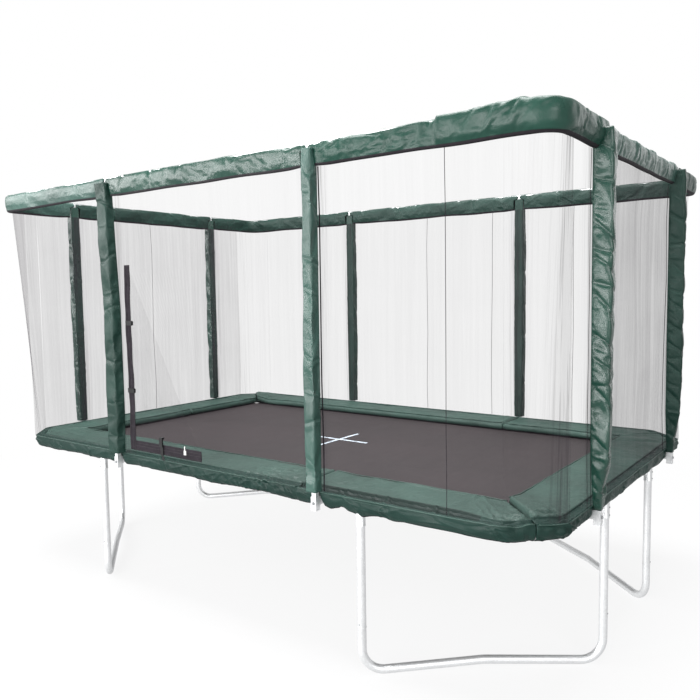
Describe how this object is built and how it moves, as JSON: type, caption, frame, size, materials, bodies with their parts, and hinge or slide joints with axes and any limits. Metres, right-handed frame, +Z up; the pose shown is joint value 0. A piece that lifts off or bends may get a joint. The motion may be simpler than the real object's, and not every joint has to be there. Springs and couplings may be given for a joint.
{
  "type": "trampoline",
  "caption": "Rectangular trampoline on U-shaped tube legs, with padded edge, padded enclosure posts, net walls and a zipped and clipped doorway in the front net.",
  "frame": {"origin": "on the ground under the middle of the mat", "axes": "+X along the long side, to the right as seen from the entrance; -Y is the entrance side; +Z up"},
  "size_m": [4.377, 2.747, 2.7543],
  "materials": {
    "galvanised_steel": "galvanised, satin",
    "spring_steel": "zinc plated",
    "sleeve_fabric": "coated fabric, slightly glossy",
    "pad_cover": "coated fabric, slightly glossy",
    "net_mesh": "fine open mesh",
    "black_webbing": "woven tape",
    "black_plastic": "moulded",
    "white_plastic": "moulded",
    "mat_fabric": "woven, matte"
  },
  "bodies": {
    "frame": {"clip_sockets": "black_plastic", "entry_band": "black_webbing", "frame_corner_back_left": "galvanised_steel", "frame_corner_back_right": "galvanised_steel", "frame_corner_front_left": "galvanised_steel", "frame_corner_front_right": "galvanised_steel", "frame_tube_back": "galvanised_steel", "frame_tube_front": "galvanised_steel", "frame_tube_left": "galvanised_steel", "frame_tube_right": "galvanised_steel", "leg_base_back_left": "galvanised_steel", "leg_base_back_right": "galvanised_steel", "leg_base_front_left": "galvanised_steel", "leg_base_front_right": "galvanised_steel", "leg_uprights": "galvanised_steel", "net_back": "net_mesh", "net_corners": "net_mesh", "net_front": "net_mesh", "net_left": "net_mesh", "net_right": "net_mesh", "pad_back_left": "pad_cover", "pad_back_right": "pad_cover", "pad_front_left": "pad_cover", "pad_front_right": "pad_cover", "pad_left_back": "pad_cover", "pad_left_front": "pad_cover", "pad_right": "pad_cover", "post_sleeves_back": "sleeve_fabric", "post_sleeves_front": "sleeve_fabric", "post_sleeves_left": "sleeve_fabric", "post_sleeves_right": "sleeve_fabric", "post_sockets": "galvanised_steel", "posts_back": "galvanised_steel", "posts_front": "galvanised_steel", "posts_left": "galvanised_steel", "posts_right": "galvanised_steel", "rail_clamps": "galvanised_steel", "rail_corners": "galvanised_steel", "rail_sleeve_back": "sleeve_fabric", "rail_sleeve_corner_back_left": "sleeve_fabric", "rail_sleeve_corner_back_right": "sleeve_fabric", "rail_sleeve_corner_front_left": "sleeve_fabric", "rail_sleeve_corner_front_right": "sleeve_fabric", "rail_sleeve_front": "sleeve_fabric", "rail_sleeve_left": "sleeve_fabric", "rail_sleeve_right": "sleeve_fabric", "rail_tubes": "galvanised_steel", "springs": "spring_steel"},
    "mat": {"jump_mat": "mat_fabric", "v_rings": "galvanised_steel"},
    "flap": {"entry_flap": "net_mesh"},
    "slider": {"zip_slider": "white_plastic"},
    "plug_upper": {"clip_plug_upper": "black_plastic"},
    "plug_middle": {"clip_plug_middle": "black_plastic"},
    "plug_lower": {"clip_plug_lower": "black_plastic"}
  },
  "joints": [
    {"name": "mat_bounce", "type": "slide", "parent": "frame", "child": "mat", "axis": [0, 0, -1], "range_m": [0, 0.25], "stiffness_N_per_m": 6500, "springref_m": -0.02, "deforming": ["springs"]},
    {"name": "flap_fold", "type": "hinge", "parent": "frame", "child": "flap", "pos_m": [-0.046, -1.30795, 1.005], "axis": [0.4854, 0, -0.8743], "range_deg": [0, 140]},
    {"name": "zip_slide", "type": "slide", "parent": "frame", "child": "slider", "axis": [-1, 0, 0], "range_m": [0, 0.455]},
    {"name": "clip_upper", "type": "slide", "parent": "flap", "child": "plug_upper", "axis": [1, 0, 0], "range_m": [0, 0.03]},
    {"name": "clip_middle", "type": "slide", "parent": "flap", "child": "plug_middle", "axis": [1, 0, 0], "range_m": [0, 0.03]},
    {"name": "clip_lower", "type": "slide", "parent": "flap", "child": "plug_lower", "axis": [0, 0, 1], "range_m": [0, 0.03]}
  ]
}
